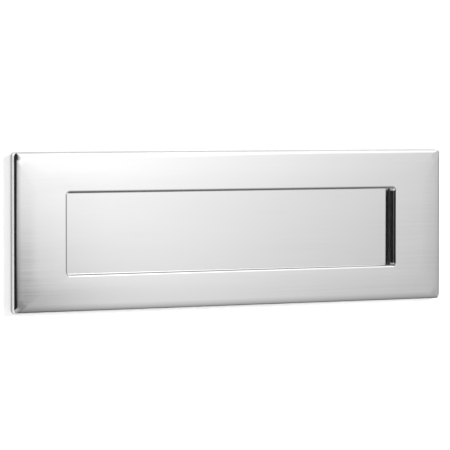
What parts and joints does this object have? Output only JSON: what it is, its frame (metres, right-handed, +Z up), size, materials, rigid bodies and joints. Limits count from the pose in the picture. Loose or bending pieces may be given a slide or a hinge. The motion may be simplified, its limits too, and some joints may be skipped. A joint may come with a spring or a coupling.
{
  "type": "letter plate",
  "caption": "Polished chrome letter plate for a door: plain rectangular face with soft front edges, and a sprung flap behind the opening that swings into the door.",
  "frame": {"origin": "centre of the plate, on the plane where the plate's back rim meets the door's street face", "axes": "+X along the plate's length, to the right as seen from the street; +Y into the door; +Z up"},
  "size_m": [0.254, 0.0575, 0.0794],
  "materials": {
    "polished_chrome": "polished, with faint lengthwise brushing",
    "zinc_plated_steel": "bright zinc plate",
    "spring_steel": "drawn wire, lightly oiled",
    "rubber": "matt black"
  },
  "bodies": {
    "plate": {"face_plate": "polished_chrome", "hinge_rod": "zinc_plated_steel", "hinge_bracket_left": "zinc_plated_steel", "hinge_bracket_right": "zinc_plated_steel", "bracket_screw_left_inner": "zinc_plated_steel", "bracket_screw_left_outer": "zinc_plated_steel", "bracket_screw_right_inner": "zinc_plated_steel", "bracket_screw_right_outer": "zinc_plated_steel", "rod_clip_left": "zinc_plated_steel", "rod_clip_right": "zinc_plated_steel", "torsion_spring_left": "spring_steel", "torsion_spring_right": "spring_steel", "flap_buffer_left": "rubber", "flap_buffer_right": "rubber", "fixing_stud_left": "zinc_plated_steel", "fixing_stud_right": "zinc_plated_steel", "washer_left": "zinc_plated_steel", "washer_right": "zinc_plated_steel", "dome_nut_left": "polished_chrome", "dome_nut_right": "polished_chrome"},
    "flap": {"flap": "polished_chrome"}
  },
  "joints": [
    {"name": "flap_hinge", "type": "hinge", "parent": "plate", "child": "flap", "pos_m": [0, 0.00675, 0.027], "axis": [1, 0, 0], "range_deg": [0, 85], "stiffness_Nm_per_rad": 0.05, "springref_deg": -34.38, "deforming": ["torsion_spring_left", "torsion_spring_right"]}
  ]
}
